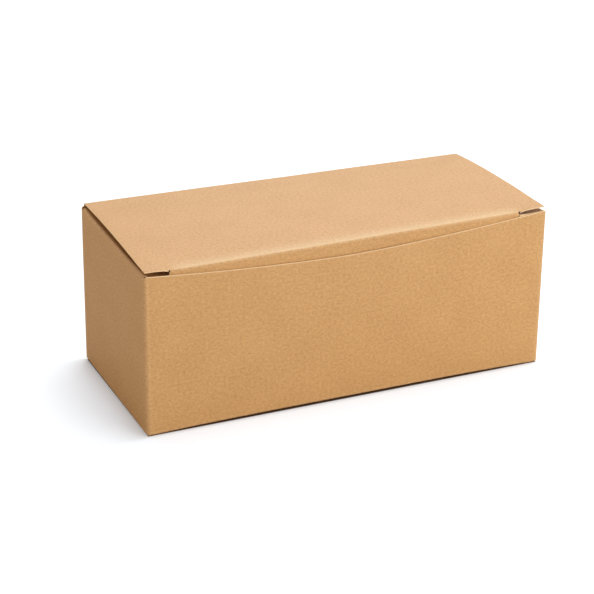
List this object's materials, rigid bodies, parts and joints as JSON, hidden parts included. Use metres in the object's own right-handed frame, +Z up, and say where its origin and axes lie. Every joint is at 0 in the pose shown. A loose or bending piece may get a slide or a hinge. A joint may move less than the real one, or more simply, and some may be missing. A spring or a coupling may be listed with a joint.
{
  "type": "tuck-top cardboard box",
  "caption": "Plain brown folding carton for packing small goods, closed by a hinged lid whose front flap tucks inside the front wall.",
  "frame": {"origin": "on the table, under the middle of the box", "axes": "+X along the length, +Y from the scooped front wall to the hinged back wall, +Z up through the lid"},
  "size_m": [0.23, 0.101, 0.0914],
  "materials": {
    "kraft_card": "uncoated brown kraft card, matt with fine fibres, pale at cut edges"
  },
  "bodies": {
    "carton": {"carton_body": "kraft_card"},
    "lid": {"lid": "kraft_card"}
  },
  "joints": [
    {"name": "lid_hinge", "type": "hinge", "parent": "carton", "child": "lid", "pos_m": [0, 0.05025, 0.09115], "axis": [-1, 0, 0], "range_deg": [0, 175]}
  ]
}
